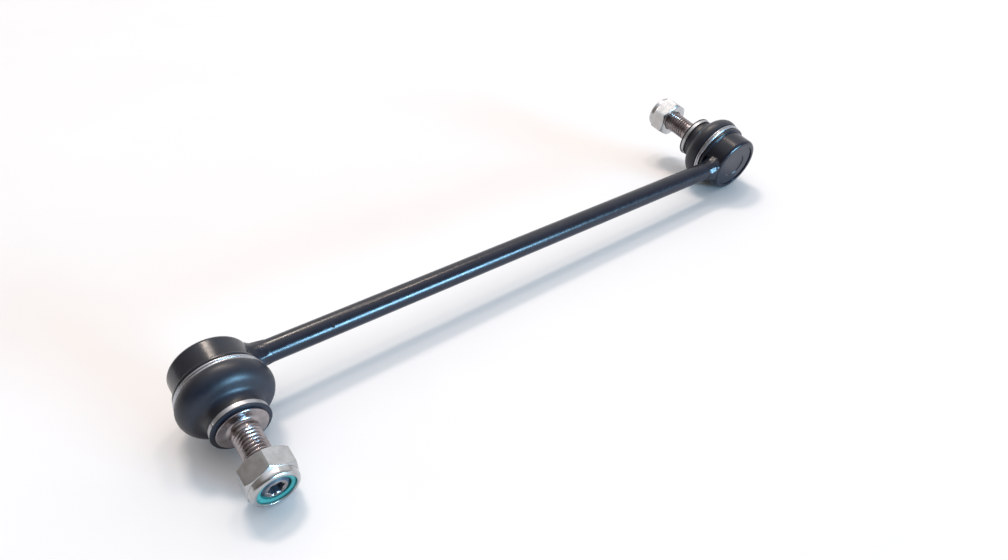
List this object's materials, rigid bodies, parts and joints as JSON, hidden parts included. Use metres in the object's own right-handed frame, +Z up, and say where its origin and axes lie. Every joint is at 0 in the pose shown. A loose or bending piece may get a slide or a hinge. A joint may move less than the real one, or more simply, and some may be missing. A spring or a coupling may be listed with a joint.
{
  "type": "stabilizer link",
  "caption": "Straight round rod with a sealed ball joint at each end, studs pointing opposite ways, that ties an anti-roll bar to a suspension arm or strut.",
  "frame": {"origin": "middle of the rod, half way between the two stud axes", "axes": "+X along the rod from the near to the far end, +Z up as the link lies on a bench, the near stud towards -Y and the far stud towards +Y"},
  "size_m": [0.3078, 0.1054, 0.0342],
  "materials": {
    "coated_steel": "satin black coating",
    "boot_rubber": "moulded, slight sheen",
    "zinc_plate": "bright zinc plating",
    "ring_steel": "plain steel wire",
    "seat_plastic": "moulded acetal",
    "teal_nylon": "nylon"
  },
  "bodies": {
    "link": {"link_rod": "coated_steel", "near_weld": "coated_steel", "near_housing": "coated_steel", "near_cover_plate": "coated_steel", "near_ball_seat": "seat_plastic", "near_large_ring": "ring_steel", "far_weld": "coated_steel", "far_housing": "coated_steel", "far_cover_plate": "coated_steel", "far_ball_seat": "seat_plastic", "far_large_ring": "ring_steel"},
    "near_boot": {"near_dust_boot": "boot_rubber"},
    "near_boot_ring": {"near_small_ring": "ring_steel"},
    "near_stud": {"near_ball_stud": "zinc_plate"},
    "near_nut_ring": {"near_nut_insert": "teal_nylon"},
    "near_nut": {"near_lock_nut": "zinc_plate"},
    "far_boot": {"far_dust_boot": "boot_rubber"},
    "far_boot_ring": {"far_small_ring": "ring_steel"},
    "far_stud": {"far_ball_stud": "zinc_plate"},
    "far_nut_ring": {"far_nut_insert": "teal_nylon"},
    "far_nut": {"far_lock_nut": "zinc_plate"}
  },
  "joints": [
    {"name": "near_swing_direction", "type": "hinge", "parent": "link", "child": "near_boot", "pos_m": [-0.137, -0.00652, 0.00089], "axis": [-0.0032, -0.98, -0.1991], "continuous": true},
    {"name": "near_stud_tilt", "type": "hinge", "parent": "near_boot", "child": "near_boot_ring", "pos_m": [-0.137, -0.00652, 0.00089], "axis": [0.9999, 0, -0.0161], "range_deg": [-22, 22], "deforming": ["near_dust_boot"]},
    {"name": "near_stud_spin", "type": "hinge", "parent": "near_boot_ring", "child": "near_stud", "pos_m": [-0.137, -0.00652, 0.00089], "axis": [-0.0032, -0.98, -0.1991], "continuous": true},
    {"name": "near_nut_travel", "type": "slide", "parent": "near_stud", "child": "near_nut_ring", "axis": [-0.0032, -0.98, -0.1991], "range_m": [-0.01051, 0.01501]},
    {"name": "near_nut_turn", "type": "hinge", "parent": "near_nut_ring", "child": "near_nut", "pos_m": [-0.137, -0.00652, 0.00089], "axis": [-0.0032, -0.98, -0.1991], "range_deg": [-2520, 3600]},
    {"name": "far_swing_direction", "type": "hinge", "parent": "link", "child": "far_boot", "pos_m": [0.137, 0.00652, -0.00089], "axis": [0.0032, 0.98, 0.1991], "continuous": true},
    {"name": "far_stud_tilt", "type": "hinge", "parent": "far_boot", "child": "far_boot_ring", "pos_m": [0.137, 0.00652, -0.00089], "axis": [0.9999, 0, -0.0161], "range_deg": [-22, 22], "deforming": ["far_dust_boot"]},
    {"name": "far_stud_spin", "type": "hinge", "parent": "far_boot_ring", "child": "far_stud", "pos_m": [0.137, 0.00652, -0.00089], "axis": [0.0032, 0.98, 0.1991], "continuous": true},
    {"name": "far_nut_travel", "type": "slide", "parent": "far_stud", "child": "far_nut_ring", "axis": [0.0032, 0.98, 0.1991], "range_m": [-0.01051, 0.01501]},
    {"name": "far_nut_turn", "type": "hinge", "parent": "far_nut_ring", "child": "far_nut", "pos_m": [0.137, 0.00652, -0.00089], "axis": [0.0032, 0.98, 0.1991], "range_deg": [-2520, 3600]}
  ],
  "couplings": [
    {"joint": "near_nut_travel", "follows": "near_nut_turn", "m_per_rad": 0.00023873},
    {"joint": "far_nut_travel", "follows": "far_nut_turn", "m_per_rad": 0.00023873}
  ]
}
